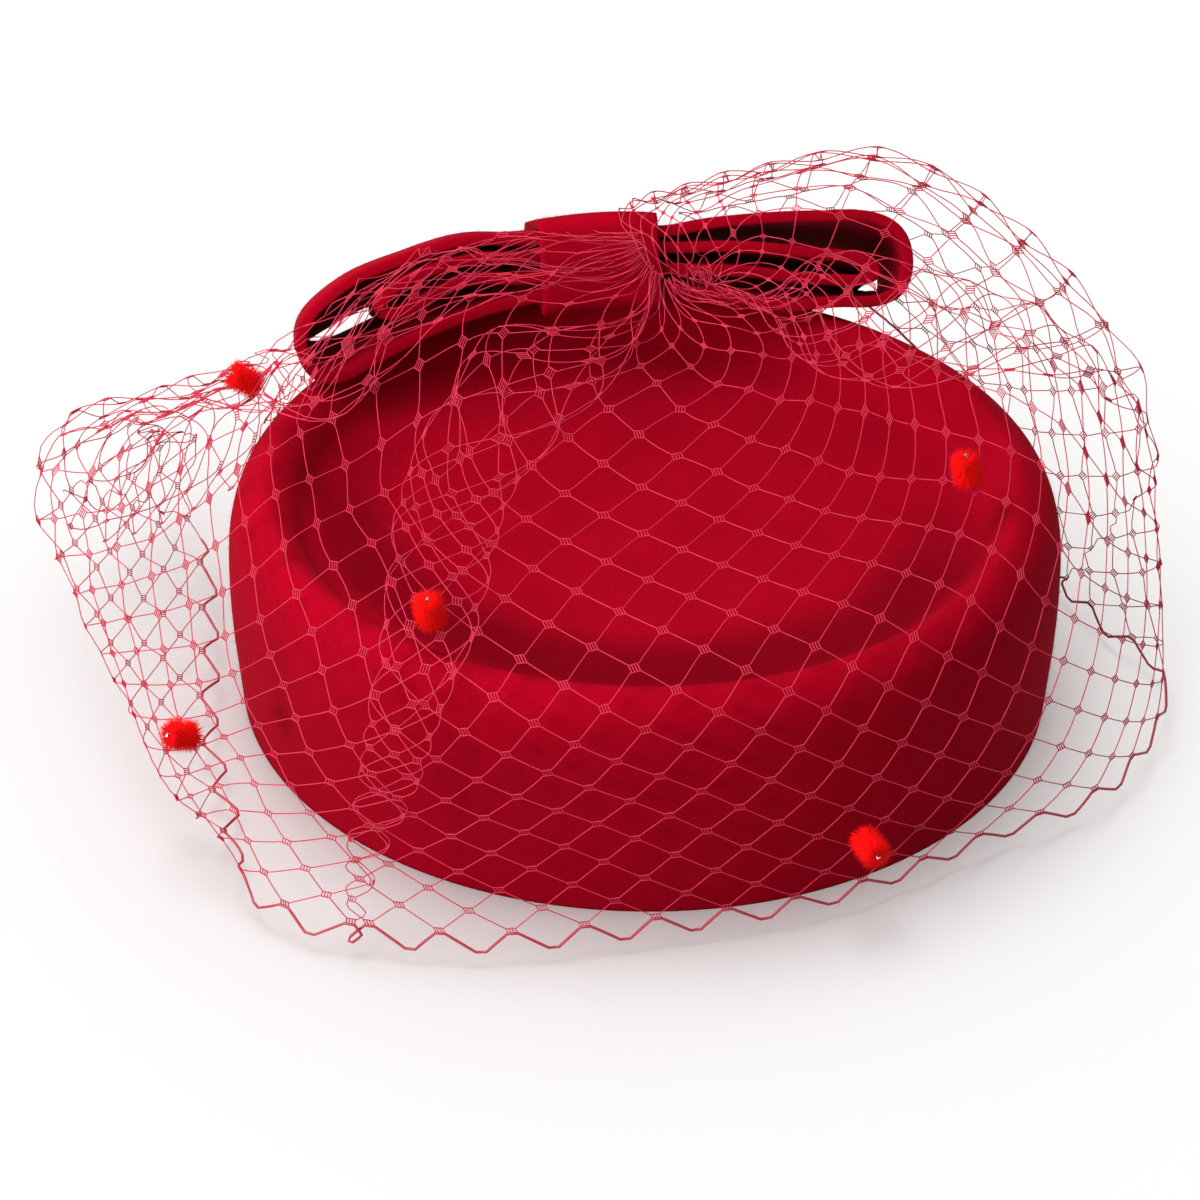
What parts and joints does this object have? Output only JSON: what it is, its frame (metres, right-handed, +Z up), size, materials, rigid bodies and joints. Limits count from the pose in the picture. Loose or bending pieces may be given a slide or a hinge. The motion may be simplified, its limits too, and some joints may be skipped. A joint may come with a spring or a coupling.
{
  "type": "pillbox hat",
  "caption": "Oval felt pillbox hat with a dished top, a looped felt bow over the back rim and a short net veil with chenille dots.",
  "frame": {"origin": "middle of the hat's footprint, bow and veil included, on the surface that the crown's cut edge stands on", "axes": "+Z up, the hat's front towards -Y and its bow towards +Y, +X to the right of a viewer who looks at the front"},
  "size_m": [0.2522, 0.206, 0.092],
  "materials": {
    "felt": "matt brushed wool felt, crimson",
    "net": "fine stiffened net, rose red",
    "chenille": "fluffy chenille, bright red"
  },
  "bodies": {
    "root": {"crown": "felt", "bow_outer": "felt", "bow_inner": "felt", "bow_knot": "felt", "veil": "net", "dot_1": "chenille", "dot_2": "chenille", "dot_3": "chenille", "dot_4": "chenille", "dot_5": "chenille"}
  },
  "joints": []
}
